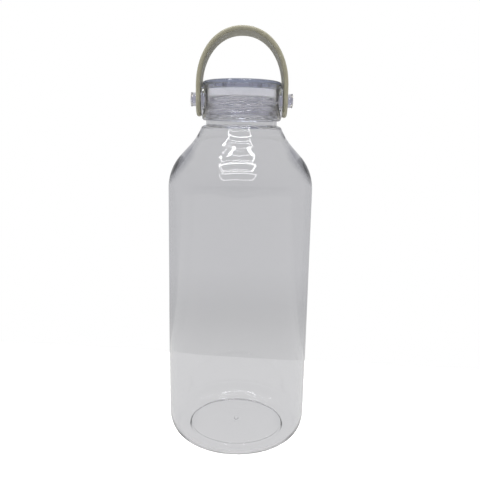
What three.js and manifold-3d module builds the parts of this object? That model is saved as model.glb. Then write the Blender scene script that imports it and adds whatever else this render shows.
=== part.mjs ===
// A large clear water bottle with a screw lid and a strap handle that swings over the lid.
// Millimetres, +Z up. The origin is the middle of the base, on the surface that the bottle stands on.
// The handle swings about a line along X, and the lid unscrews about Z with a right-hand thread.
import * as THREE from "three";
import { mergeVertices } from "three/addons/utils/BufferGeometryUtils.js";
import Module from "manifold-3d";

const wasm = await Module();
wasm.setup();

// ---- Driving dimensions ----
const bodyRadius = 55; // outside of the cylindrical body
const bodyWall = 1.4;
const fit = 0.3; // gap kept between pieces that touch
const roundFacets = 40; // facets round the bottle and the lid
const pinFacets = 20; // facets round the pins and their holes

// Base: a soft heel, a flat ring that it stands on, and a shallow push-up inside the ring.
const heel = { width: 10, height: 16.5 };
const standing = { inner: 38.2, outer: bodyRadius - heel.width };
const pushUp = { radius: 36.8, edgeHeight: 1.1, domeHeight: 3.4 };
const baseWall = 2;
const gate = { radius: 1.6, height: 0.7, rim: 84 }; // moulding dimple; the push-up's arc stops at rim degrees

// Shoulder: a convex curve off the body, a short cone, a hollow curve, and a round edge under the neck.
// bend is the slope of the cone, and lean the slope where the round edge starts, both in degrees.
const shoulder = { start: 197, convex: 37.5, cone: 9, hollow: 44.7, edge: 3.8, bend: 43, lean: 23.25 };

// Neck and mouth
const neck = { radius: 26.6, step: 250, stepRise: 1.5, threadRoot: 24, mouth: 21.8, rim: 264.3, lip: 0.8 };
const neckWall = 2.4; // at the foot of the neck

// Screw thread with two starts. The lid's ridges lie under the neck's.
const thread = { lead: 9, starts: 2, base: 2.4, crest: 1.2, buried: 0.5, stepsPerTurn: 24 };
const threadEnd = { share: 0.07, least: 0.06 }; // each end fades out over this share of a ridge
const neckThread = { height: 1.4, bottom: 254.5, turns: 0.85 };
const lidThread = { height: 1.35, bottom: neckThread.bottom - 1.9, turns: 0.95 };

// Lid: an outer shell, and an inner cap that holds the thread and the seal.
const shell = { radius: 29.6, bore: 27.7, bottom: 248, ceiling: 273.2, top: 276, edge: 1.8, chamfer: 1 };
const cap = { radius: shell.bore - fit, bore: 25.9, bottom: 251, ceiling: 270.4, edge: 0.5 };
const spline = { count: 20, width: 1.6, depth: 1.6, height: 2.2, buried: 0.4 }; // keys in the cap
const sealRing = { inside: 2.4, lip: 1 }; // reach in past the mouth, and depth over the rim

// Handle strap, the flat pads it swings against, and the pins that it hangs on
const pivot = 263; // height of the pins
const pad = { face: 29.9, root: 20, halfWidth: 12.5, foot: 249.8, head: 271.4, corner: 5 };
const strap = { width: 25, thickness: 3.5, inner: pad.face + fit, springing: 272, crown: 314.2 };
const archPower = 2.12; // of the superellipse that the arch follows: 2 is an ellipse
const pin = { shaft: 4.6, flange: 5.6, flangeEnd: 28.6, reach: 36.4, head: 5.3, end: 38, edge: 0.5 };
const pinHollow = { radius: 2.7, depth: 7 };
const pinHole = pin.shaft + fit;

const V = (x, y) => new THREE.Vector2(x, y);
const rad = THREE.MathUtils.degToRad;

// ---- Helpers ----

// Points of an elliptical arc, angles in degrees.
function arc(cx, cy, rx, ry, from, to, steps) {
  const curve = new THREE.EllipseCurve(cx, cy, rx, ry, rad(from), rad(to), to < from);
  return curve.getPoints(steps);
}

// Turns a profile of (radius, height) points round the Z axis. It goes up the outside.
function turned(points, facets = roundFacets) {
  return new THREE.LatheGeometry(points, facets).rotateX(Math.PI / 2);
}

// A closed geometry as a manifold-3d solid, for joining and cutting.
function solid(geometry) {
  const bare = geometry.clone();
  bare.deleteAttribute("normal");
  bare.deleteAttribute("uv");
  const merged = mergeVertices(bare, 1e-4);
  return new wasm.Manifold(
    new wasm.Mesh({
      numProp: 3,
      vertProperties: new Float32Array(merged.attributes.position.array),
      triVerts: new Uint32Array(merged.index.array),
    }),
  );
}

// A manifold-3d solid back as a geometry.
function geometryOf(made) {
  const mesh = made.getMesh();
  const geometry = new THREE.BufferGeometry();
  geometry.setAttribute("position", new THREE.BufferAttribute(mesh.vertProperties, 3));
  geometry.setIndex(new THREE.BufferAttribute(mesh.triVerts, 1));
  geometry.computeVertexNormals();
  return geometry;
}

const joined = (first, others) => others.reduce((made, other) => made.add(other), first);
const cut = (first, others) => others.reduce((made, other) => made.subtract(other), first);

// A solid from x0 to x1 along X, of a shape drawn in (Y, Z).
function alongX(shape, x0, x1, curveSegments) {
  const geometry = new THREE.ExtrudeGeometry(shape, {
    depth: x1 - x0,
    bevelEnabled: false,
    curveSegments,
  });
  const axes = new THREE.Matrix4().makeBasis(
    new THREE.Vector3(0, 1, 0),
    new THREE.Vector3(0, 0, 1),
    new THREE.Vector3(1, 0, 0),
  );
  return solid(geometry.applyMatrix4(axes).translate(x0, 0, 0));
}

// A cylinder along X at the height of the pins.
function pivotCylinder(radius, x0, x1) {
  const geometry = new THREE.CylinderGeometry(radius, radius, x1 - x0, pinFacets);
  return solid(geometry.rotateZ(Math.PI / 2).translate((x0 + x1) / 2, 0, pivot));
}

// One start of a screw ridge on a round wall. outward is 1 on the neck and -1 inside the lid.
// A straight bar of the ridge's section is bent round the wall, and fades into it at both ends.
function screwRidge({ wallRadius, height, bottom, turns, outward, startAngle }) {
  const section = new THREE.Shape([
    V(-thread.buried, -thread.base / 2),
    V(0, -thread.base / 2),
    V(height, -thread.crest / 2),
    V(height, thread.crest / 2),
    V(0, thread.base / 2),
    V(-thread.buried, thread.base / 2),
  ]);
  const steps = Math.round(turns * thread.stepsPerTurn);
  const bar = new THREE.ExtrudeGeometry(section, { depth: 1, steps, bevelEnabled: false });
  const points = bar.attributes.position;
  for (let i = 0; i < points.count; i++) {
    // The bar runs up the helix inside the lid and down it on the neck, so that its faces point out.
    const along = outward > 0 ? 1 - points.getZ(i) : points.getZ(i);
    const fade = Math.min(1, threadEnd.least + Math.min(along, 1 - along) / threadEnd.share);
    const out = points.getX(i);
    const radius = wallRadius + outward * (out > 0 ? out * fade : out);
    const angle = startAngle + along * turns * 2 * Math.PI;
    const z = bottom + along * turns * thread.lead + points.getY(i);
    points.setXYZ(i, radius * Math.cos(angle), radius * Math.sin(angle), z);
  }
  return solid(bar);
}

// Every start of a screw ridge, spread evenly round the wall.
function screwRidges(options) {
  const starts = [...Array(thread.starts).keys()];
  return starts.map((k) =>
    screwRidge({ ...options, startAngle: (k * 2 * Math.PI) / thread.starts }),
  );
}

// ---- Bottle ----

// Shoulder points from the body up to the neck. offset moves them in from the outer surface.
function shoulderPoints(offset) {
  const centreR = bodyRadius - shoulder.convex;
  const bend = rad(shoulder.bend);
  const lean = rad(shoulder.lean);
  const reach = shoulder.convex + shoulder.hollow;
  const hollowR = centreR + reach * Math.cos(bend) - shoulder.cone * Math.sin(bend);
  const hollowZ = shoulder.start + reach * Math.sin(bend) + shoulder.cone * Math.cos(bend);
  const edgeR = hollowR - (shoulder.hollow + shoulder.edge) * Math.cos(lean);
  const edgeZ = hollowZ - (shoulder.hollow + shoulder.edge) * Math.sin(lean);
  const convex = shoulder.convex - offset;
  const hollow = shoulder.hollow + offset;
  const edge = shoulder.edge - offset;
  return [
    ...arc(centreR, shoulder.start, convex, convex, 0, shoulder.bend, 6),
    ...arc(hollowR, hollowZ, hollow, hollow, 180 + shoulder.bend, 180 + shoulder.lean, 3),
    ...arc(edgeR, edgeZ, edge, edge, shoulder.lean, 90, 3).slice(1),
  ];
}

function bottle() {
  const ledge = shoulderPoints(0).at(-1).y;
  const dome = pushUp.domeHeight;
  const rise = dome - pushUp.edgeHeight;
  const lip = neck.lip;
  const innerHeel = { width: heel.width - bodyWall, height: heel.height - baseWall };
  const outside = [
    V(0, dome - gate.height),
    V(gate.radius, dome - gate.height / 2),
    ...arc(0, pushUp.edgeHeight, pushUp.radius, rise, gate.rim, 0, 4),
    V(standing.inner, 0),
    ...arc(standing.outer, heel.height, heel.width, heel.height, -90, 0, 6),
    ...shoulderPoints(0),
    V(neck.radius, ledge + fit),
    V(neck.radius, neck.step),
    V(neck.threadRoot, neck.step + neck.stepRise),
    ...arc(neck.threadRoot - lip, neck.rim - lip, lip, lip, 0, 90, 2),
  ];
  const inside = [
    ...arc(neck.mouth + lip, neck.rim - lip, lip, lip, 90, 180, 2),
    V(neck.mouth, neck.step),
    V(neck.radius - neckWall, ledge),
    ...shoulderPoints(bodyWall).slice(0, -2).reverse(),
    ...arc(standing.outer, heel.height, innerHeel.width, innerHeel.height, 0, -90, 5),
    V(standing.inner, baseWall),
    ...arc(0, pushUp.edgeHeight + baseWall, pushUp.radius, rise, 0, 90, 4),
  ];
  const ridges = screwRidges({
    wallRadius: neck.threadRoot,
    height: neckThread.height,
    bottom: neckThread.bottom,
    turns: neckThread.turns,
    outward: 1,
  });
  return joined(solid(turned([...outside, ...inside])), ridges);
}

// ---- Lid ----

// Keys in the corner under the shell's top. grow makes room round them in the cap.
function splines(grow) {
  const { count, width, depth, height, buried } = spline;
  return [...Array(count).keys()].map((k) => {
    const key = new THREE.BoxGeometry(depth + buried + grow, width + 2 * grow, height + buried + grow);
    const middle = shell.bore - (depth + grow) / 2 + buried / 2;
    key.translate(middle, 0, shell.ceiling - (height + grow) / 2 + buried / 2);
    return solid(key.rotateZ(((k + 0.5) * 2 * Math.PI) / count));
  });
}

// The flat pads on both sides of the shell that the handle swings against.
function pads() {
  const { face, root, halfWidth, foot, head, corner } = pad;
  const outline = new THREE.Shape();
  outline.moveTo(-halfWidth, head - corner);
  outline.lineTo(-halfWidth, foot + halfWidth);
  outline.absarc(0, foot + halfWidth, halfWidth, Math.PI, 2 * Math.PI, false);
  outline.lineTo(halfWidth, head - corner);
  outline.absarc(halfWidth - corner, head - corner, corner, 0, Math.PI / 2, false);
  outline.absarc(corner - halfWidth, head - corner, corner, Math.PI / 2, Math.PI, false);
  // Inside, the pads stop in the middle of the shell's wall.
  const wallMiddle = (shell.bore + shell.radius) / 2;
  const core = new THREE.CylinderGeometry(wallMiddle, wallMiddle, head - foot + 2, roundFacets);
  core.rotateX(Math.PI / 2).translate(0, 0, (head + foot) / 2);
  const blocks = [alongX(outline, root, face, 8), alongX(outline, -face, -root, 8)];
  return blocks.map((block) => block.subtract(solid(core)));
}

function lidShell() {
  const { radius, bore, bottom, ceiling, top, edge, chamfer } = shell;
  const wall = turned([
    V(0, ceiling),
    V(bore, ceiling),
    V(bore, bottom + chamfer),
    V(bore + chamfer / 2, bottom),
    V(radius - chamfer, bottom),
    V(radius, bottom + chamfer),
    ...arc(radius - edge, top - edge, edge, edge, 0, 90, 4),
    V(0, top),
  ]);
  // Each pin goes through the wall, and its inner flange sits in a pocket.
  const outer = pad.face + 1;
  const pocket = { radius: pin.flange + fit, end: pin.flangeEnd + fit };
  const cuts = [
    pivotCylinder(pinHole, bore - 2, outer),
    pivotCylinder(pinHole, -outer, 2 - bore),
    pivotCylinder(pocket.radius, bore - 2, pocket.end),
    pivotCylinder(pocket.radius, -pocket.end, 2 - bore),
  ];
  return cut(joined(solid(wall), [...pads(), ...splines(0)]), cuts);
}

function lidCap() {
  const { radius, bore, bottom, ceiling, edge } = cap;
  const top = shell.ceiling - fit;
  const wall = turned([
    V(0, ceiling),
    V(bore, ceiling),
    V(bore, bottom + edge),
    V(bore + edge, bottom),
    V(radius - edge, bottom),
    V(radius, bottom + edge),
    V(radius, top - edge),
    V(radius - edge, top),
    V(0, top),
  ]);
  const ridges = screwRidges({
    wallRadius: bore,
    height: lidThread.height,
    bottom: lidThread.bottom,
    turns: lidThread.turns,
    outward: -1,
  });
  return cut(joined(solid(wall), ridges), splines(fit));
}

// A soft ring between the cap and the rim of the bottle, with a channel that sits over the rim.
function seal() {
  const outer = cap.bore - fit;
  const inner = neck.mouth - sealRing.inside;
  const top = cap.ceiling - fit;
  const floor = neck.rim + fit;
  const lip = floor - sealRing.lip;
  const innerLip = neck.mouth - fit;
  const outerLip = neck.threadRoot + fit;
  return turned([
    V(inner, top),
    V(inner, lip),
    V(innerLip, lip),
    V(innerLip, floor),
    V(outerLip, floor),
    V(outerLip, lip),
    V(outer, lip),
    V(outer, top),
    V(inner, top),
  ]);
}

// ---- Handle ----

// Points in (X, Z) of the arch from the +X leg over the crown to the -X leg. inset is measured
// from the strap's outer face.
function archPoints(inset, steps) {
  const halfSpan = strap.inner + strap.thickness - inset;
  const rise = strap.crown - inset - strap.springing;
  const power = 2 / archPower;
  return [...Array(steps + 1).keys()].map((k) => {
    const angle = (k * Math.PI) / steps;
    const across = Math.cos(angle);
    const x = halfSpan * Math.sign(across) * Math.abs(across) ** power;
    return V(x, strap.springing + rise * Math.sin(angle) ** power);
  });
}

function handle() {
  const steps = 28;
  const half = strap.width / 2;
  const outer = strap.inner + strap.thickness;
  const foot = pivot - half - 1;
  const outline = new THREE.Shape([
    V(outer, foot),
    ...archPoints(0, steps),
    V(-outer, foot),
    V(-strap.inner, foot),
    ...archPoints(strap.thickness, steps).reverse(),
    V(strap.inner, foot),
  ]);
  const geometry = new THREE.ExtrudeGeometry(outline, { depth: strap.width, bevelEnabled: false });
  const arch = solid(geometry.rotateX(Math.PI / 2).translate(0, half, 0));

  // Each foot is rounded about the pin.
  const side = new THREE.Shape();
  side.moveTo(half + 1, pivot);
  side.lineTo(half + 1, strap.crown + 1);
  side.lineTo(-half - 1, strap.crown + 1);
  side.lineTo(-half - 1, pivot);
  side.lineTo(-half, pivot);
  side.absarc(0, pivot, half, Math.PI, 2 * Math.PI, false);
  const rounded = arch.intersect(alongX(side, -outer - 1, outer + 1, 12));
  return rounded.subtract(pivotCylinder(pinHole, -outer - 1, outer + 1));
}

// A pin with a flange inside the shell, and a hollow end whose lip snaps out past the strap.
// side is 1 at +X and -1 at -X.
function pinGeometry(side) {
  const floor = pin.end - pinHollow.depth;
  const profile = [
    V(0, cap.radius + fit),
    V(pin.flange, cap.radius + fit),
    V(pin.flange, pin.flangeEnd),
    V(pin.shaft, pin.flangeEnd),
    V(pin.shaft, pin.reach),
    V(pin.head, pin.reach + pin.edge),
    V(pin.head, pin.end - pin.edge),
    V(pin.head - pin.edge, pin.end),
    V(pinHollow.radius, pin.end),
    V(pinHollow.radius, floor),
    V(0, floor),
  ];
  return new THREE.LatheGeometry(profile, pinFacets)
    .rotateZ((-side * Math.PI) / 2)
    .translate(0, 0, pivot);
}

// ---- Materials and assembly ----

const plastic = (color, roughness, opacity) =>
  new THREE.MeshStandardMaterial({
    color,
    roughness,
    metalness: 0,
    opacity,
    transparent: opacity < 1,
  });
const clearBody = plastic(0xdfe1e3, 0.05, 0.3);
const violetClear = plastic(0xc9cde0, 0.06, 0.4);
const clearCap = plastic(0xd6d8e2, 0.06, 0.4);
const silicone = plastic(0xe6e6e4, 0.5, 0.85);
const strapPlastic = plastic(0x9c9780, 0.45, 1);
const clearPin = plastic(0xd4d4da, 0.08, 0.45);

const part = new THREE.Group();

function add(name, geometry, material) {
  const mesh = new THREE.Mesh(geometry, material);
  mesh.name = name;
  part.add(mesh);
}

add("bottle", geometryOf(bottle()), clearBody);
add("lid_shell", geometryOf(lidShell()), violetClear);
add("lid_cap", geometryOf(lidCap()), clearCap);
add("lid_seal", seal(), silicone);
add("handle", geometryOf(handle()), strapPlastic);
add("pivot_pin_right", pinGeometry(1), clearPin);
add("pivot_pin_left", pinGeometry(-1), clearPin);

export default part;
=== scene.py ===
"""A large clear water jug with a screw lid and a strap handle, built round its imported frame.

Lengths below are in millimetres, and MM turns them into Blender's metres. The bottle stands on
the origin, +Z is up, and the handle swings about a line along X.
"""

import math

import bmesh
import bpy
import numpy as np
from mathutils import Matrix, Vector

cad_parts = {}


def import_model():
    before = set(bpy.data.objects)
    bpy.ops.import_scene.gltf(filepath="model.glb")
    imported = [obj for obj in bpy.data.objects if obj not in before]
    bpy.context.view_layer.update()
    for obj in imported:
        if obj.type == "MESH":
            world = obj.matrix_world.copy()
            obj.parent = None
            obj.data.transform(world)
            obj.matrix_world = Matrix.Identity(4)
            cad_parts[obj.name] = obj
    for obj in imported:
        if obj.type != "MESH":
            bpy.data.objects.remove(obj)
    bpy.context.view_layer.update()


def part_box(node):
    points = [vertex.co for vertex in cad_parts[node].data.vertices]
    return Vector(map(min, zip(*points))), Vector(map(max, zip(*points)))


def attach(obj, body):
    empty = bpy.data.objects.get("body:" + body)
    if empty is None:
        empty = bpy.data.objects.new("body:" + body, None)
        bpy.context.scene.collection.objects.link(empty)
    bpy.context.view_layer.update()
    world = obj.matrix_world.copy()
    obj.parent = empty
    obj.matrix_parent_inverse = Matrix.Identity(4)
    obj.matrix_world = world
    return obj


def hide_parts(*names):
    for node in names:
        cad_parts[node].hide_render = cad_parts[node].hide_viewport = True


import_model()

MM = 0.001
TURN = 2 * math.pi  # one whole turn, in radians


def low(node):
    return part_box(node)[0] / MM


def high(node):
    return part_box(node)[1] / MM


# ---- Dimensions ----
FIT = 0.3  # gap between pieces that touch

# Bottle
BODY_RADIUS = high("bottle").x
RIM = high("bottle").z
WALL, BASE_WALL, NECK_WALL = 1.4, 2.0, 2.4
HEEL_WIDTH, HEEL_HEIGHT = 10.0, 16.5
RING_INNER, RING_OUTER = 38.2, BODY_RADIUS - HEEL_WIDTH
PUSH_UP_RADIUS, PUSH_UP_EDGE, PUSH_UP_DOME = 36.8, 1.1, 3.4
GATE_RADIUS, GATE_HEIGHT = 1.6, 0.7
RIPPLE_PITCH, RIPPLE_HEIGHT, RIPPLE_REACH = 3.1, 0.16, 17.0
SHOULDER_START = 197.0
SHOULDER_CONVEX, SHOULDER_CONE, SHOULDER_HOLLOW, SHOULDER_EDGE = 37.5, 9.0, 44.7, 3.8
SHOULDER_BEND, SHOULDER_LEAN = 43.0, 23.25
NECK_RADIUS, NECK_STEP, STEP_RISE = 26.6, 250.0, 1.5
THREAD_ROOT, MOUTH, LIP = 24.0, 21.8, 0.8

# Inside the bottle: the shoulder's extra wall comes in and goes out between these heights, and so
# do the waves of the body's inner face
EXTRA_WALL, EXTRA_IN, EXTRA_OUT = 2.1, (199, 225), (226, 241)
INNER_SHOULDER_TOP = NECK_STEP - 8
WAVES_IN, WAVES_OUT = (20, 50), (178, 198)

# Screw thread with two starts
LEAD, STARTS = 9.0, 2
RIDGE_BASE, RIDGE_CREST, RIDGE_FADE = 3.2, 0.7, 0.07
THREAD_DETAIL = 0.3  # between the points of a profile that carries the thread
NECK_RIDGE = {"height": 1.4, "bottom": 254.5, "turns": 0.85}
LID_RIDGE = {"height": 1.35, "bottom": 252.6, "turns": 0.95}

# Lid
SHELL_RADIUS, SHELL_BORE = 29.6, 27.7
SHELL_BOTTOM, SHELL_TOP = low("lid_shell").z, high("lid_shell").z
SHELL_CEILING, SHELL_EDGE, SHELL_CHAMFER = 273.2, 1.8, 1.0
CAP_RADIUS, CAP_BORE = high("lid_cap").x, 25.9
CAP_BOTTOM, CAP_TOP, CAP_CEILING = low("lid_cap").z, high("lid_cap").z, 270.4
KEYS, KEY_WIDTH, KEY_DEPTH, KEY_HEIGHT = 20, 1.6, 1.6, 2.2
KEY_SIDE = 0.004  # in radians: a key's side stands up over this turn to each side of its edge
LEAST_TURN = 0.003  # in radians, between two lines of vertices up the lid

# Handle, its pads and its pins
PIVOT = (low("pivot_pin_right").z + high("pivot_pin_right").z) / 2
PAD_ROOT, PAD_FACE, PAD_EDGE = 20, high("lid_shell").x, 0.6
PAD_HALF, PAD_FOOT, PAD_HEAD, PAD_CORNER = 12.5, 249.8, 271.4, 5.0
STRAP_OUTER, STRAP_HALF, STRAP_CROWN = high("handle").x, high("handle").y, high("handle").z
STRAP_THICKNESS, STRAP_SPRINGING, STRAP_EDGE = 3.5, 272.0, 1.7
ARCH_POWER = 2.12
PIN_SHAFT, PIN_FLANGE, PIN_FLANGE_END, PIN_REACH = 4.6, 5.6, 28.6, 36.4
PIN_NECK, PIN_HEAD, PIN_END, PIN_EDGE = 4.95, 5.3, high("pivot_pin_right").x, 0.5
PIN_HOLLOW, PIN_HOLLOW_DEPTH = 2.7, 7.0
PIN_HOLE = PIN_SHAFT + FIT

BOTTLE_FACETS, FACETS, PIN_FACETS = 224, 256, 64
CREASE = 35


# ---- Profiles ----
def arc(centre, radius, start, end, steps):
    """Points on an arc. radius is a number or a pair, and the angles are in degrees."""
    across, up = radius if isinstance(radius, tuple) else (radius, radius)
    angles = np.radians(np.linspace(start, end, steps + 1))
    return [(centre[0] + across * math.cos(a), centre[1] + up * math.sin(a)) for a in angles]


def filleted(corners, steps=4):
    """A profile with rounded corners, from (radius, height, fillet) corners."""
    points = []
    for i, (r, z, fillet) in enumerate(corners):
        here = np.array((r, z))
        if not fillet or i in (0, len(corners) - 1):
            points.append((r, z))
            continue
        before = np.array(corners[i - 1][:2]) - here
        after = np.array(corners[i + 1][:2]) - here
        before /= np.linalg.norm(before)
        after /= np.linalg.norm(after)
        half = math.acos(np.clip(before @ after, -1, 1)) / 2
        back = fillet / math.tan(half)
        middle = here + (before + after) / np.linalg.norm(before + after) * fillet / math.sin(half)
        first, last = here + before * back - middle, here + after * back - middle
        for k in range(steps + 1):
            blend = first * (1 - k / steps) + last * k / steps
            points.append(tuple(middle + blend / np.linalg.norm(blend) * fillet))
    return points


def dense(points, step):
    """The same profile with no two neighbours further apart than step."""
    out = [points[0]]
    for a, b in zip(points, points[1:]):
        count = max(1, math.ceil(math.dist(a, b) / step))
        out += [tuple(np.array(a) + (np.array(b) - np.array(a)) * k / count) for k in range(1, count + 1)]
    return out


def even_angles(count):
    return np.arange(count) * TURN / count


def ramp(value, start, end):
    """0 up to start, 1 from end on, and a straight line between them."""
    return np.clip((value - start) / (end - start), 0, 1)


def smooth(value, start, end):
    """A ramp with soft ends."""
    share = ramp(value, start, end)
    return share * share * (3 - 2 * share)


# ---- Meshes ----
def mesh_object(name, vertices, faces):
    mesh = bpy.data.meshes.new(name)
    mesh.from_pydata((np.asarray(vertices) * MM).tolist(), [], faces)
    return dressed(name, mesh)


def dressed(name, mesh):
    """An object of the mesh, smooth but creased where its faces turn by more than CREASE degrees."""
    mesh.validate()
    mesh.shade_smooth()
    mesh.set_sharp_from_angle(angle=math.radians(CREASE))
    made = bpy.data.objects.new(name, mesh)
    bpy.context.scene.collection.objects.link(made)
    return made


def turned(name, sections, angles, along_x=0, closed=False):
    """A closed surface turned round Z from profile sections. A section is its (radius, height)
    points and a function of their radii, heights and angles that shifts the radii, or None.
    along_x of 1 or -1 lays it along the pins' line instead, with its heights counted from x = 0."""
    radii, heights = [], []
    for points, relief in sections:
        r, z = np.array(points, float).T
        grid = np.repeat(r[:, None], len(angles), axis=1)
        if relief:
            grid = relief(grid, z[:, None], angles[None, :])
        radii.append(grid)
        heights.append(z)
    radii, heights = np.concatenate(radii), np.concatenate(heights)
    count = len(angles)
    vertices, rows = [], []
    for ring, z in zip(radii, heights):
        first = len(vertices)
        if ring.max() < 1e-6:
            vertices.append((0, 0, z))
            rows.append([first] * count)
            continue
        ring_points = np.stack([ring * np.cos(angles), ring * np.sin(angles), np.full(count, z)], axis=1)
        vertices.extend(ring_points.tolist())
        rows.append(list(range(first, first + count)))
    pairs = list(zip(rows, rows[1:]))
    if closed:
        pairs.append((rows[-1], rows[0]))
    faces = []
    for lower, upper in pairs:
        for j in range(count):
            k = (j + 1) % count
            corners = [lower[j], lower[k], upper[k], upper[j]]
            faces.append(list(dict.fromkeys(corners)))
    if along_x:
        vertices = [(along_x * z, -along_x * y, PIVOT + x) for x, y, z in vertices]
    return mesh_object(name, vertices, faces)


def combined(target, tool, operation):
    """target after a boolean with tool, which is used up."""
    modifier = target.modifiers.new("combine", "BOOLEAN")
    modifier.operation = operation
    modifier.solver = "EXACT"
    modifier.object = tool
    graph = bpy.context.evaluated_depsgraph_get()
    mesh = bpy.data.meshes.new_from_object(target.evaluated_get(graph))
    name = target.name
    for used in (target, tool):
        bpy.data.objects.remove(used)
    return dressed(name, mesh)


# ---- Bottle ----
def screw_ridge(heights, angles, height, bottom, turns):
    """How far the screw ridges stand off their wall."""
    stand = np.zeros(np.broadcast(heights, angles).shape)
    for start in range(STARTS):
        turn = (angles / TURN - start / STARTS) % 1
        for lap in range(math.ceil(turns)):
            share = (turn + lap) / turns
            fade = ramp(np.minimum(share, 1 - share), 0, RIDGE_FADE)
            away = np.abs(heights - bottom - (turn + lap) * LEAD)
            flank = smooth(away, RIDGE_BASE / 2, RIDGE_CREST / 2)
            stand = np.maximum(stand, height * fade * flank)
    return stand


def neck_thread(radii, heights, angles):
    return radii + screw_ridge(heights, angles, **NECK_RIDGE)


def lid_thread(radii, heights, angles):
    return radii - screw_ridge(heights, angles, **LID_RIDGE)


def uneven(radii, heights, angles):
    """The inner wall of a blown bottle: long soft ripples that run up and down it."""
    drift = 0.7 * np.sin(heights / 37)
    wave = 0.045 * np.sin(3 * angles + drift) + 0.03 * np.sin(8 * angles - 2 * drift + 1)
    wave += 0.018 * np.sin(19 * angles + 1.5 * drift) + 0.02 * np.sin(heights / 11 + 2 * np.sin(angles))
    return radii + wave * ramp(heights, *WAVES_IN) * (1 - ramp(heights, *WAVES_OUT))


def shoulder():
    """The shoulder from the body up to the ledge under the lid: a convex curve, a short cone, a
    hollow curve and a round edge."""
    centre = (BODY_RADIUS - SHOULDER_CONVEX, SHOULDER_START)
    bend, lean = math.radians(SHOULDER_BEND), math.radians(SHOULDER_LEAN)
    convex = arc(centre, SHOULDER_CONVEX, 0, SHOULDER_BEND, 30)
    cone = convex[-1]
    cone_top = (cone[0] - SHOULDER_CONE * math.sin(bend), cone[1] + SHOULDER_CONE * math.cos(bend))
    hollow = (cone_top[0] + SHOULDER_HOLLOW * math.cos(bend),
              cone_top[1] + SHOULDER_HOLLOW * math.sin(bend))
    reach = SHOULDER_HOLLOW + SHOULDER_EDGE
    edge = (hollow[0] - reach * math.cos(lean), hollow[1] - reach * math.sin(lean))
    return [
        *convex,
        *dense([cone, cone_top], 1.2)[1:],
        *arc(hollow, SHOULDER_HOLLOW, 180 + SHOULDER_BEND, 180 + SHOULDER_LEAN, 22)[1:],
        *arc(edge, SHOULDER_EDGE, SHOULDER_LEAN, 90, 10)[1:],
    ]


def wall_at(z):
    """The wall's thickness at a height: thin down the body, and thicker in the shoulder, where less
    of it was blown out."""
    return WALL + EXTRA_WALL * smooth(z, *EXTRA_IN) * (1 - smooth(z, *EXTRA_OUT))


def shoulder_inside():
    """The inner face of the shoulder, from the neck down to the body."""
    outer = shoulder()
    inner = []
    for before, here, after in zip(outer, outer[1:], outer[2:]):
        along = np.array(after) - np.array(before)
        inward = np.array((-along[1], along[0])) / np.linalg.norm(along)
        if here[1] < INNER_SHOULDER_TOP:
            inner.append(tuple(np.array(here) + inward * wall_at(here[1])))
    return inner[::-1]


def base_inside():
    """The floor of the bottle, from its edge to the middle, with rings moulded round the gate."""
    rise = PUSH_UP_DOME - PUSH_UP_EDGE
    points = []
    for r, z in arc((0, PUSH_UP_EDGE + BASE_WALL), (PUSH_UP_RADIUS, rise), 0, 90, 60):
        calm = math.exp(-((r / RIPPLE_REACH) ** 2))
        points.append((r, z + RIPPLE_HEIGHT * calm * math.cos(TURN * r / RIPPLE_PITCH)))
    points[-1] = (0, points[-1][1])
    return points


def bottle():
    ledge = shoulder()[-1][1]
    thread_foot, bore_foot = NECK_STEP + 4, NECK_STEP + 3
    neck_bore = NECK_RADIUS - NECK_WALL
    rise = PUSH_UP_DOME - PUSH_UP_EDGE
    under = [
        *filleted([(0, PUSH_UP_DOME - GATE_HEIGHT, 0), (GATE_RADIUS, PUSH_UP_DOME - GATE_HEIGHT, 0.3),
                   (GATE_RADIUS + 0.3, PUSH_UP_DOME, 0)]),
        *arc((0, PUSH_UP_EDGE), (PUSH_UP_RADIUS, rise), 86, 4, 24),
        *filleted([(PUSH_UP_RADIUS, PUSH_UP_EDGE, 0), (RING_INNER, 0, 0.6), (RING_OUTER, 0, 0)]),
    ]
    body = [
        *arc((RING_OUTER, HEEL_HEIGHT), (HEEL_WIDTH, HEEL_HEIGHT), -90, 0, 24)[1:],
        *dense([(BODY_RADIUS, HEEL_HEIGHT), (BODY_RADIUS, SHOULDER_START)], 8)[1:-1],
        *shoulder(),
    ]
    finish = [
        *filleted([(NECK_RADIUS, ledge + FIT, 0.2), (NECK_RADIUS, NECK_STEP, 0.6),
                   (THREAD_ROOT, NECK_STEP + STEP_RISE, 0.6), (THREAD_ROOT, thread_foot, 0)]),
        *dense([(THREAD_ROOT, thread_foot), (THREAD_ROOT, RIM - LIP)], THREAD_DETAIL)[1:],
    ]
    mouth = [
        *arc((THREAD_ROOT - LIP, RIM - LIP), LIP, 0, 90, 6)[1:],
        *arc((MOUTH + LIP, RIM - LIP), LIP, 90, 180, 6),
        *dense([(MOUTH, RIM - LIP), (MOUTH, bore_foot)], 3)[1:],
        *filleted([(MOUTH, bore_foot, 0), (MOUTH, NECK_STEP + STEP_RISE, 1),
                   (neck_bore, NECK_STEP - 1, 1), (neck_bore, ledge, 0)])[1:],
    ]
    inside = [
        *shoulder_inside(),
        *dense([(BODY_RADIUS - WALL, SHOULDER_START - 2), (BODY_RADIUS - WALL, HEEL_HEIGHT)], 4)[:-1],
    ]
    base = [
        *arc((RING_OUTER, HEEL_HEIGHT), (HEEL_WIDTH - WALL, HEEL_HEIGHT - BASE_WALL), 0, -90, 24),
        *filleted([(RING_OUTER, BASE_WALL, 0), (RING_INNER, BASE_WALL, 0.8),
                   (PUSH_UP_RADIUS, PUSH_UP_EDGE + BASE_WALL, 0)])[1:-1],
        *base_inside(),
    ]
    sections = [(under, None), (body, None), (finish, neck_thread), (mouth, None), (inside, uneven),
                (base, None)]
    return turned("clear_bottle", sections, even_angles(BOTTLE_FACETS))


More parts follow.
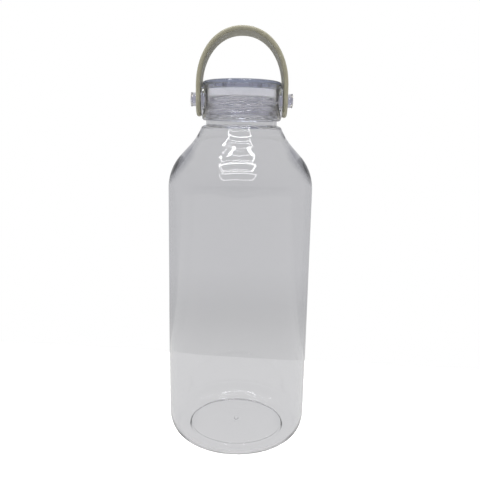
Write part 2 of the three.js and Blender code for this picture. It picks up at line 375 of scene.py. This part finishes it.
# ---- Lid ----
def key_angles(half_width):
    """Angles round the lid, with extra ones where the sides of the keys stand."""
    side = np.array([-KEY_SIDE, KEY_SIDE])
    spread = np.concatenate([side - half_width, side + half_width])
    middles = (np.arange(KEYS) + 0.5) * TURN / KEYS
    angles = np.concatenate([even_angles(FACETS), (middles[:, None] + spread[None, :]).ravel()])
    angles = np.sort(angles % TURN)
    apart = np.diff(angles, prepend=angles[-1] - TURN) > LEAST_TURN
    return angles[apart]


def keyed(inner_radius, half_width, bottom):
    """Pulls a wall in to inner_radius at each key, above bottom."""
    def relief(radii, heights, angles):
        middle = (np.floor(angles / TURN * KEYS) + 0.5) * TURN / KEYS
        inside = (np.abs(angles - middle) < half_width) & (heights > bottom)
        return np.where(inside, np.minimum(radii, inner_radius), radii)
    return relief


def lid_shell():
    half = KEY_WIDTH / 2 / SHELL_BORE
    key_bottom = SHELL_CEILING - KEY_HEIGHT
    # The keys end in a step, between two rows of points that are close together.
    keys = [
        (SHELL_BORE - KEY_DEPTH - 0.2, SHELL_CEILING),
        (SHELL_BORE - KEY_DEPTH, SHELL_CEILING),
        *filleted([(SHELL_BORE - 1, SHELL_CEILING, 0), (SHELL_BORE, SHELL_CEILING, 0.5),
                   (SHELL_BORE, key_bottom, 0)], 3)[1:-1],
        (SHELL_BORE, key_bottom + 0.15),
        (SHELL_BORE, key_bottom - 0.05),
    ]
    wall = filleted([
        (SHELL_BORE, key_bottom - 0.5, 0),
        (SHELL_BORE, SHELL_BOTTOM + SHELL_CHAMFER, 0.4),
        (SHELL_BORE + SHELL_CHAMFER / 2, SHELL_BOTTOM, 0.2),
        (SHELL_RADIUS - SHELL_CHAMFER, SHELL_BOTTOM, 0.4),
        (SHELL_RADIUS, SHELL_BOTTOM + SHELL_CHAMFER, 0.4),
        (SHELL_RADIUS, SHELL_TOP - SHELL_EDGE, 0),
    ])
    top = [
        *arc((SHELL_RADIUS - SHELL_EDGE, SHELL_TOP - SHELL_EDGE), SHELL_EDGE, 0, 90, 10)[1:],
        (0, SHELL_TOP),
    ]
    sections = [
        ([(0, SHELL_CEILING)], None),
        (keys, keyed(SHELL_BORE - KEY_DEPTH, half, key_bottom)),
        (wall, None),
        (top, None),
    ]
    shell = turned("lid_shell_clear", sections, key_angles(half))
    for side in (1, -1):
        shell = combined(shell, pad(side), "UNION")
    for side in (1, -1):
        shell = combined(shell, pin_bore(side), "DIFFERENCE")
    return shell


def pad(side):
    """The flat pad that the strap swings against, cut to lie in the shell's wall."""
    corner = np.array(arc((PAD_HALF - PAD_CORNER, PAD_HEAD - PAD_CORNER), PAD_CORNER, 0, 90, 10))
    foot = np.array(arc((0, PAD_FOOT + PAD_HALF), PAD_HALF, -90, 0, 16))
    right = np.concatenate([foot, corner])
    outline = np.concatenate([right, (right * (-1, 1))[::-1][:-1]])
    rings = [(0, PAD_ROOT)]
    for a in np.radians([0, 30, 60, 90]):
        rings.append((PAD_EDGE * (1 - math.cos(a)), PAD_FACE - PAD_EDGE * (1 - math.sin(a))))
    middle = np.array([0, (PAD_FOOT + PAD_HEAD) / 2])
    away = outline - middle
    vertices = []
    for inset, x in rings:
        scale = 1 - inset / np.linalg.norm(away, axis=1, keepdims=True)
        ring = middle + away * scale
        vertices += [(side * x, side * y, z) for y, z in ring]
    count = len(outline)
    faces = [list(range(count))[::-1], [k + (len(rings) - 1) * count for k in range(count)]]
    for i in range(len(rings) - 1):
        for j in range(count):
            k = (j + 1) % count
            faces.append([i * count + j, i * count + k, (i + 1) * count + k, (i + 1) * count + j])
    block = mesh_object(f"pad_{side}", vertices, faces)
    wall_middle = (SHELL_BORE + SHELL_RADIUS) / 2
    core = turned("core", [([(0, PAD_FOOT - 1), (wall_middle, PAD_FOOT - 1),
                             (wall_middle, PAD_HEAD + 1), (0, PAD_HEAD + 1)], None)], even_angles(FACETS))
    return combined(block, core, "DIFFERENCE")


def pin_bore(side):
    """What is cut from the shell for a pin: a hole, and a pocket for its flange."""
    start, end = SHELL_BORE - 2, PAD_FACE + 1
    pocket_end = PIN_FLANGE_END + FIT
    profile = [(0, start), (PIN_FLANGE + FIT, start), (PIN_FLANGE + FIT, pocket_end),
               (PIN_HOLE, pocket_end), (PIN_HOLE, end), (0, end)]
    return turned("pin_bore", [(profile, None)], even_angles(PIN_FACETS), along_x=side)


def lid_cap():
    half = (KEY_WIDTH / 2 + FIT) / CAP_RADIUS
    notch_bottom = SHELL_CEILING - KEY_HEIGHT - FIT
    thread_top = CAP_CEILING - 3
    under = [(0, CAP_CEILING), *filleted([(CAP_BORE - 2, CAP_CEILING, 0), (CAP_BORE, CAP_CEILING, 0.5),
                                          (CAP_BORE, thread_top, 0)])]
    threaded = dense([(CAP_BORE, thread_top - THREAD_DETAIL), (CAP_BORE, CAP_BOTTOM + 0.6)], THREAD_DETAIL)
    wall = [
        *filleted([(CAP_BORE, CAP_BOTTOM + 0.55, 0), (CAP_BORE, CAP_BOTTOM, 0.5),
                   (CAP_RADIUS, CAP_BOTTOM, 0.5), (CAP_RADIUS, notch_bottom - 0.5, 0)])[1:],
    ]
    notched = [
        (CAP_RADIUS, notch_bottom - 0.05),
        (CAP_RADIUS, notch_bottom + 0.1),
        *filleted([(CAP_RADIUS, notch_bottom, 0), (CAP_RADIUS, CAP_TOP, 0.5),
                   (CAP_RADIUS - 2, CAP_TOP, 0)])[1:-1],
    ]
    top = [(SHELL_BORE - KEY_DEPTH - FIT - 0.3, CAP_TOP), (0, CAP_TOP)]
    relief = keyed(SHELL_BORE - KEY_DEPTH - FIT, half, notch_bottom)
    sections = [(under, None), (threaded, lid_thread), (wall, None), (notched, relief), (top, None)]
    return turned("lid_cap_clear", sections, key_angles(half))


def seal():
    """A flat soft ring over the rim, with a lip that reaches down inside the mouth."""
    outer, inner = CAP_BORE - FIT, MOUTH - 2.4
    top, seat = high("lid_seal").z, RIM + FIT
    lip = RIM - LIP
    profile = filleted([
        (inner, (top + lip) / 2, 0),
        (inner, lip, 0.45),
        (MOUTH - FIT, lip, 0.45),
        (MOUTH - FIT, seat, 0.3),
        (outer, seat, 0.4),
        (outer, top, 0.4),
        (inner, top, 0.4),
        (inner, (top + lip) / 2 + 0.5, 0),
    ])
    return turned("lid_seal_ring", [(profile, None)], even_angles(FACETS), closed=True)


# ---- Handle ----
def arch(angle, inset):
    """A point in (x, z) of the arch, from the strap's outer face in by inset."""
    span = STRAP_OUTER - inset
    rise = STRAP_CROWN - STRAP_SPRINGING - inset
    across, up = math.cos(angle), math.sin(angle)
    power = 2 / ARCH_POWER
    x = span * math.copysign(abs(across) ** power, across)
    return x, STRAP_SPRINGING + rise * abs(up) ** power


def strap_stations():
    """Where the strap is crossed, from the foot at +X to the foot at -X. A station is the kind of
    stretch that it is in, its side, and an angle, or in a leg a height."""
    stations = []
    swing = np.radians(np.linspace(0, 90, 15))
    legs = np.linspace(PIVOT, STRAP_SPRINGING, 6)[1:]
    for side in (1, -1):
        leg = [("foot", side, a) for a in swing] + [("leg", side, z) for z in legs]
        if side > 0:
            stations += leg
            stations += [("arch", side, a) for a in np.linspace(0, math.pi, 129)[1:-1]]
        else:
            stations += leg[::-1]
    return stations


def strap_point(station, inset, depth):
    """The middle of the strap's surface at a station in (x, z), and the half width there. depth is
    counted in from the outer face, and inset from the edges."""
    kind, side, value = station
    half = STRAP_HALF - inset
    if kind == "foot":
        return (side * (STRAP_OUTER - depth), PIVOT - half * math.cos(value)), half * math.sin(value)
    if kind == "leg":
        return (side * (STRAP_OUTER - depth), value), half
    return arch(value, depth), half


def handle():
    """A flat strap with rounded edges, bent into the arch, with a round foot at each end."""
    stations = strap_stations()
    across = np.linspace(-1, 1, 13)
    half_thick = STRAP_THICKNESS / 2
    loops = []
    for a in np.radians(np.linspace(90, -90, 13)):
        inset = STRAP_EDGE * (1 - math.cos(a))
        depth = half_thick - np.sign(a) * (half_thick - STRAP_EDGE + STRAP_EDGE * abs(math.sin(a)))
        loops.append((inset, depth))
    vertices, faces = [], []

    def face_grid(inset, depth, flip):
        first = len(vertices)
        for station in stations:
            (x, z), half = strap_point(station, inset, depth)
            vertices.extend((x, half * t, z) for t in across)
        width = len(across)
        for i in range(len(stations) - 1):
            for j in range(width - 1):
                corners = [first + i * width + j, first + i * width + j + 1,
                           first + (i + 1) * width + j + 1, first + (i + 1) * width + j]
                faces.append(corners[::-1] if flip else corners)
        ring = [first + i * width for i in range(len(stations))]
        ring += [first + i * width + width - 1 for i in reversed(range(len(stations)))]
        return ring

    outer = face_grid(*loops[0], flip=False)
    previous = outer
    for inset, depth in loops[1:-1]:
        ring = []
        for side in (-1, 1):
            for station in stations if side < 0 else reversed(stations):
                (x, z), half = strap_point(station, inset, depth)
                ring.append(len(vertices))
                vertices.append((x, side * half, z))
        faces += [[previous[j], ring[j], ring[(j + 1) % len(ring)], previous[(j + 1) % len(ring)]]
                  for j in range(len(ring))]
        previous = ring
    inner = face_grid(*loops[-1], flip=True)
    faces += [[previous[j], inner[j], inner[(j + 1) % len(inner)], previous[(j + 1) % len(inner)]]
              for j in range(len(inner))]
    strap = merged(mesh_object("strap_handle", vertices, faces))
    hole = turned("hole", [([(0, -STRAP_OUTER - 1), (PIN_HOLE, -STRAP_OUTER - 1),
                             (PIN_HOLE, STRAP_OUTER + 1), (0, STRAP_OUTER + 1)], None)],
                  even_angles(PIN_FACETS), along_x=1)
    return combined(strap, hole, "DIFFERENCE")


def merged(made, distance=0.002):
    """The object with vertices closer than distance made one, and empty faces gone."""
    mesh = bmesh.new()
    mesh.from_mesh(made.data)
    bmesh.ops.remove_doubles(mesh, verts=mesh.verts, dist=distance * MM)
    bmesh.ops.recalc_face_normals(mesh, faces=mesh.faces)
    mesh.to_mesh(made.data)
    mesh.free()
    return made


def pin(side):
    """A pin with a flange inside the shell and a hollow head outside the strap."""
    profile = filleted([
        (0, CAP_RADIUS + FIT, 0),
        (PIN_FLANGE, CAP_RADIUS + FIT, 0.2),
        (PIN_FLANGE, PIN_FLANGE_END, 0.2),
        (PIN_SHAFT, PIN_FLANGE_END, 0.15),
        (PIN_SHAFT, STRAP_OUTER + FIT, 0.15),
        (PIN_NECK, STRAP_OUTER + FIT, 0.3),
        (PIN_NECK, PIN_REACH + PIN_EDGE, 0.2),
        (PIN_HEAD, PIN_REACH + PIN_EDGE + 0.3, 0.2),
        (PIN_HEAD, PIN_END, 0.6),
        (PIN_HOLLOW, PIN_END, 0.3),
        (PIN_HOLLOW, PIN_END - PIN_HOLLOW_DEPTH, 0.5),
        (0, PIN_END - PIN_HOLLOW_DEPTH, 0),
    ])
    name = "pin_right" if side > 0 else "pin_left"
    return turned(name, [(profile, None)], even_angles(PIN_FACETS), along_x=side)


# ---- Materials ----
class Tree:
    """The nodes of a material or a world, with short ways to add them and to join them."""

    def __init__(self, owner, empty=False):
        owner.use_nodes = True
        self.nodes, self.links = owner.node_tree.nodes, owner.node_tree.links
        if empty:
            self.nodes.clear()

    def feed(self, socket, value):
        """Gives a socket a number, a vector, a colour, or the output of another node."""
        if isinstance(value, bpy.types.NodeSocket):
            self.links.new(value, socket)
        else:
            socket.default_value = (*value, 1) if socket.type == "RGBA" else value

    def add(self, kind, output, inputs=None, **settings):
        """An output of a new node. inputs gives its sockets' values, by name or by number."""
        node = self.nodes.new(kind)
        for name, value in settings.items():
            setattr(node, name, value)
        for key, value in (inputs or {}).items():
            self.feed(node.inputs[key], value)
        return node.outputs[output]

    def finish(self, kind, shader):
        self.links.new(shader, self.nodes.new(kind).inputs["Surface"])

    def place(self, space):
        """The x, y and z of the point, or of the direction in a world."""
        node = self.nodes.new("ShaderNodeSeparateXYZ")
        self.feed(node.inputs["Vector"], self.add("ShaderNodeTexCoord", space))
        return node.outputs

    def maths(self, operation, *values):
        return self.add("ShaderNodeMath", "Value", dict(enumerate(values)), operation=operation)

    def ranged(self, value, from_low, from_high, to_low, to_high):
        """A value moved from one range to another, and kept inside it."""
        return self.add("ShaderNodeMapRange", "Result", {
            "Value": value, "From Min": from_low, "From Max": from_high, "To Min": to_low, "To Max": to_high,
        })

    def mixed(self, factor, a, b):
        """A colour from a to b."""
        return self.add("ShaderNodeMix", "Result", {"Factor": factor, "A": a, "B": b}, data_type="RGBA")

    def noise(self, scale, detail=4, stretch=(1, 1, 1)):
        """A noise value over the object, finer with scale, which is in cycles per metre."""
        point = self.add("ShaderNodeTexCoord", "Object")
        stretched = self.add("ShaderNodeMapping", "Vector", {"Vector": point, "Scale": stretch})
        return self.add("ShaderNodeTexNoise", "Fac", {"Vector": stretched, "Scale": scale, "Detail": detail})

    def bump(self, height, depth, strength=1.0):
        """A normal for a relief of this depth."""
        return self.add("ShaderNodeBump", "Normal", {
            "Height": height, "Distance": depth * MM, "Strength": strength,
        })


def new_material(name):
    """A material, its tree, and the sockets of its shader."""
    material = bpy.data.materials.new(name)
    tree = Tree(material)
    return material, tree, tree.nodes["Principled BSDF"].inputs


def clear_plastic(name, colour, gloss, scuffed, flow, deep=None):
    """Clear moulded plastic. gloss and scuffed are its roughness where it is clean and where it has
    faint scuffs, and flow is the depth of the waves in its surface. deep is its colour where it is
    solid, which is in the lid's keys and more so above the lid's ceiling."""
    material, tree, shader = new_material(name)
    tree.feed(shader["Base Color"], colour)
    tree.feed(shader["Transmission Weight"], 1)
    tree.feed(shader["IOR"], 1.5)
    scuffs = tree.noise(scale=260, detail=6, stretch=(1, 1, 0.25))
    tree.feed(shader["Roughness"], tree.ranged(scuffs, 0.5, 0.75, gloss, scuffed))
    waves = tree.noise(scale=28, detail=2, stretch=(1, 1, 0.3))
    tree.feed(shader["Normal"], tree.bump(waves, flow))
    if deep:
        height = tree.place("Object")["Z"]
        steps = [tree.ranged(height, (start - 0.2) * MM, start * MM, 0, share)
                 for start, share in ((SHELL_CEILING - KEY_HEIGHT, 0.45), (SHELL_CEILING, 0.55))]
        tree.feed(shader["Base Color"], tree.mixed(tree.maths("ADD", *steps), colour, deep))
    return material


def soft_silicone():
    """Milky silicone with a fine matt skin."""
    material, tree, shader = new_material("milky_silicone")
    tree.feed(shader["Transmission Weight"], 0.1)
    tree.feed(shader["IOR"], 1.41)
    tree.feed(shader["Subsurface Weight"], 0.25)
    tree.feed(shader["Subsurface Scale"], 3 * MM)
    tree.feed(shader["Subsurface Radius"], (1, 1, 1))
    cloud = tree.noise(scale=300, detail=5)
    tree.feed(shader["Base Color"], tree.mixed(cloud, (0.84, 0.84, 0.83), (0.90, 0.90, 0.89)))
    tree.feed(shader["Roughness"], tree.ranged(cloud, 0.3, 0.7, 0.42, 0.55))
    tree.feed(shader["Normal"], tree.bump(tree.noise(scale=2500, detail=3), 0.02))
    return material


def strap_plastic():
    """Khaki plastic with a fine moulded grain, soft mottling and slightly rubbed patches."""
    material, tree, shader = new_material("khaki_strap")
    mottle = tree.ranged(tree.noise(scale=90, detail=5), 0.3, 0.7, 0, 1)
    tree.feed(shader["Base Color"], tree.mixed(mottle, (0.235, 0.222, 0.160), (0.265, 0.250, 0.185)))
    tree.feed(shader["Roughness"], tree.ranged(tree.noise(scale=55), 0.35, 0.7, 0.5, 0.36))
    tree.feed(shader["Normal"], tree.bump(tree.noise(scale=3200), 0.03, 0.8))
    return material


# ---- Stage ----
# The camera sees a white surround. The plastic bends and mirrors a grey room instead, with a dark
# blue card behind each side of the bottle. What has matt skin is lit by a third surround, the glow.
WHITE = (1, 1, 1)
ROOM_BACK, ROOM_FRONT, ROOM_LOW = (0.59, 0.59, 0.60), (0.35, 0.35, 0.36), (0.46, 0.46, 0.46)
ROOM_TOP, ROOM_GROUND, ROOM_CARD = (0.58, 0.58, 0.58), (0.66, 0.66, 0.66), (0.06, 0.07, 0.12)
GLOW_HORIZON, GLOW_TOP, GLOW_GROUND = (0.2, 0.2, 0.2), (5.2, 5.2, 5.1), (2.0, 1.98, 1.9)
GLOW_IN_PLASTIC = (5.8, 5.8, 5.5)  # for the seal, which the plastic round it would darken
FLOOR_COLOUR, FLOOR_LIFT, FLOOR_IN_PLASTIC, FLOOR_GLOW = (0.8, 0.8, 0.8), 0.6, 0.72, 1.6


def grey_room(tree, x, y, z, front):
    """The room that the plastic bends and mirrors, from the direction's x, y and z."""
    turn = tree.maths("ARCTAN2", tree.maths("ABSOLUTE", x), y)
    aside = tree.maths("MULTIPLY", tree.ranged(turn, 0.18, 0.26, 0, 1), tree.ranged(turn, 0.6, 0.8, 1, 0))
    raised = tree.maths("MULTIPLY", tree.ranged(z, 0.04, 0.28, 0.12, 0.45),
                       tree.ranged(z, 0.50, 0.62, 1, 0))
    room = tree.mixed(front, ROOM_BACK, ROOM_FRONT)
    room = tree.mixed(tree.ranged(z, -0.24, -0.33, 0, 0.6), room, ROOM_LOW)
    room = tree.mixed(tree.ranged(z, 0.35, 0.8, 0, 1), room, ROOM_TOP)
    room = tree.mixed(tree.maths("MULTIPLY", aside, raised), room, ROOM_CARD)
    return tree.mixed(tree.ranged(z, -0.30, -0.42, 0, 1), room, ROOM_GROUND)


def matt_glow(tree, z, front):
    """What lights the strap and the seal: bright overhead, less so in front, and paler from below."""
    overhead = tree.maths("MULTIPLY", tree.ranged(z, 0.1, 0.8, 0, 1), tree.ranged(front, 0, 1, 1, 0.1))
    glow = tree.mixed(overhead, GLOW_HORIZON, GLOW_TOP)
    glow = tree.mixed(tree.ranged(z, 0, -0.15, 0, 1), glow, GLOW_GROUND)
    through = tree.add("ShaderNodeLightPath", "Transmission Depth")
    return tree.mixed(tree.ranged(through, 0, 2, 0, 1), glow, GLOW_IN_PLASTIC)


def lights_matt(tree):
    """1 or more for what lights a matt surface, and 0 for what is seen, bent or mirrored."""
    return tree.add("ShaderNodeLightPath", "Diffuse Depth")


def for_camera(tree, others, camera_sees):
    """One shader for the camera itself, and another for everything else."""
    is_camera = tree.add("ShaderNodeLightPath", "Is Camera Ray")
    return tree.add("ShaderNodeMixShader", "Shader", {"Fac": is_camera, 1: others, 2: camera_sees})


def world():
    made = bpy.data.worlds.new("studio")
    tree = Tree(made, empty=True)
    direction = tree.place("Generated")
    x, y, z = direction["X"], direction["Y"], direction["Z"]
    front = tree.ranged(y, 0.1, -0.7, 0, 1)
    around = tree.mixed(tree.ranged(lights_matt(tree), 0, 1, 0, 1),
                        grey_room(tree, x, y, z, front), matt_glow(tree, z, front))
    shown = tree.add("ShaderNodeBackground", "Background", {"Color": WHITE})
    others = tree.add("ShaderNodeBackground", "Background", {"Color": around})
    tree.finish("ShaderNodeOutputWorld", for_camera(tree, others, shown))
    bpy.context.scene.world = made


def frame_tubes(left, right, front, back, side, front_tube, back_tube):
    """The tubes of an oblong frame, each as its left, right, front and back. The last three
    arguments are the widths of the tubes."""
    inner_front, inner_back = front + front_tube, back - back_tube
    return [
        (left, right, front, inner_front),
        (left, right, inner_back, back),
        (left, left + side, inner_front, inner_back),
        (right - side, right, inner_front, inner_back),
    ]


def cross_tube(left, right, middle, width=18):
    return left, right, middle - width / 2, middle + width / 2


def lamp():
    """Light tubes overhead, whose mirror images are the highlights in the shoulder: a frame in
    front of the bottle, and an open one nearer to it with two cross tubes. They don't light matt
    surfaces, which the glow does."""
    height, strength = 1215, 16
    near = -472  # where the first frame ends and the second starts
    tubes = [
        *frame_tubes(-600, 400, -975, near, side=35, front_tube=50, back_tube=38),
        (-440, -415, near, -150),
        (255, 278, near, -90),
        (-440, -375, -150, -40),
        cross_tube(-400, 250, -321),
        cross_tube(-310, 250, -109),
    ]
    vertices, faces = [], []
    for left, right, front, back in tubes:
        first = len(vertices)
        corners = [(left, front), (right, front), (right, back), (left, back)]
        vertices += [(x, y, height) for x, y in corners]
        faces.append([first + 3, first + 2, first + 1, first])
    made = mesh_object("frame_lamp", vertices, faces)
    material = bpy.data.materials.new("lamp_light")
    tree = Tree(material, empty=True)
    shining = tree.ranged(lights_matt(tree), 0, 1, strength, 0)
    tree.finish("ShaderNodeOutputMaterial",
                tree.add("ShaderNodeEmission", "Emission", {"Color": WHITE, "Strength": shining}))
    made.data.materials.append(material)


def floor():
    """A plain pale table top, lifted to white for the camera. It is an even grey where the plastic
    bends it, and brighter where it lights the strap from below. It ends not far behind the bottle,
    as a sheet does where it meets a wall, and the photo's camera sees that edge through the body."""
    reach, back, skew = 2000, 138, math.radians(-6)
    corners = [(-reach, -reach), (reach, -reach), (reach, back + reach * math.tan(skew)),
               (-reach, back - reach * math.tan(skew))]
    made = mesh_object("floor", [(x, y, -0.02) for x, y in corners], [[0, 1, 2, 3]])
    material = bpy.data.materials.new("pale_floor")
    tree = Tree(material, empty=True)
    pale = tree.add("ShaderNodeBsdfDiffuse", "BSDF", {"Color": FLOOR_COLOUR})
    lift = tree.add("ShaderNodeEmission", "Emission", {"Color": WHITE, "Strength": FLOOR_LIFT})
    shown = tree.add("ShaderNodeAddShader", "Shader", {0: pale, 1: lift})
    even = tree.ranged(lights_matt(tree), 0, 1, FLOOR_IN_PLASTIC, FLOOR_GLOW)
    others = tree.add("ShaderNodeEmission", "Emission", {"Color": WHITE, "Strength": even})
    tree.finish("ShaderNodeOutputMaterial", for_camera(tree, others, shown))
    made.data.materials.append(material)


def camera():
    """The camera at the photo's viewing angle."""
    spot = (0, -417, 235.5)
    pitch, yaw, roll = 0.18784, 0.00111, 0.0179
    data = bpy.data.cameras.new("camera")
    data.sensor_width = 36
    data.lens = 40.45
    made = bpy.data.objects.new("camera", data)
    turn = (Matrix.Rotation(-yaw, 4, "Z") @ Matrix.Rotation(math.pi / 2 - pitch, 4, "X")
            @ Matrix.Rotation(roll, 4, "Z"))
    made.matrix_world = Matrix.Translation([c * MM for c in spot]) @ turn
    bpy.context.scene.collection.objects.link(made)
    bpy.context.scene.camera = made


def light_settings():
    """Enough bounces to see through every wall of the bottle and the lid."""
    scene = bpy.context.scene
    scene.view_settings.view_transform = "Standard"
    scene.cycles.max_bounces = 40
    scene.cycles.transmission_bounces = 40
    scene.cycles.glossy_bounces = 12
    scene.cycles.diffuse_bounces = 4
    scene.cycles.sample_clamp_indirect = 12
    scene.cycles.use_denoising = True


# ---- The object ----
def add_piece(piece, body, node, material):
    piece.data.materials.clear()
    piece.data.materials.append(material)
    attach(piece, body)
    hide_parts(node)


camera()
add_piece(bottle(), "bottle", "bottle", clear_plastic(
    "clear_body_plastic", colour=(0.93, 0.93, 0.94), gloss=0.0, scuffed=0.03, flow=0.01))
add_piece(lid_shell(), "lid", "lid_shell", clear_plastic(
    "violet_clear_plastic", colour=(0.85, 0.85, 0.885), gloss=0.01, scuffed=0.05, flow=0.01,
    deep=(0.36, 0.40, 0.54)))
add_piece(lid_cap(), "lid", "lid_cap", clear_plastic(
    "clear_cap_plastic", colour=(0.93, 0.93, 0.95), gloss=0.01, scuffed=0.04, flow=0.02))
add_piece(seal(), "seal", "lid_seal", soft_silicone())
add_piece(handle(), "handle", "handle", strap_plastic())
pin_plastic = clear_plastic(
    "clear_pin_plastic", colour=(0.74, 0.74, 0.81), gloss=0.01, scuffed=0.06, flow=0.01)
for pin_side, pin_node in ((1, "pivot_pin_right"), (-1, "pivot_pin_left")):
    add_piece(pin(pin_side), "lid", pin_node, pin_plastic)

world()
lamp()
floor()
light_settings()
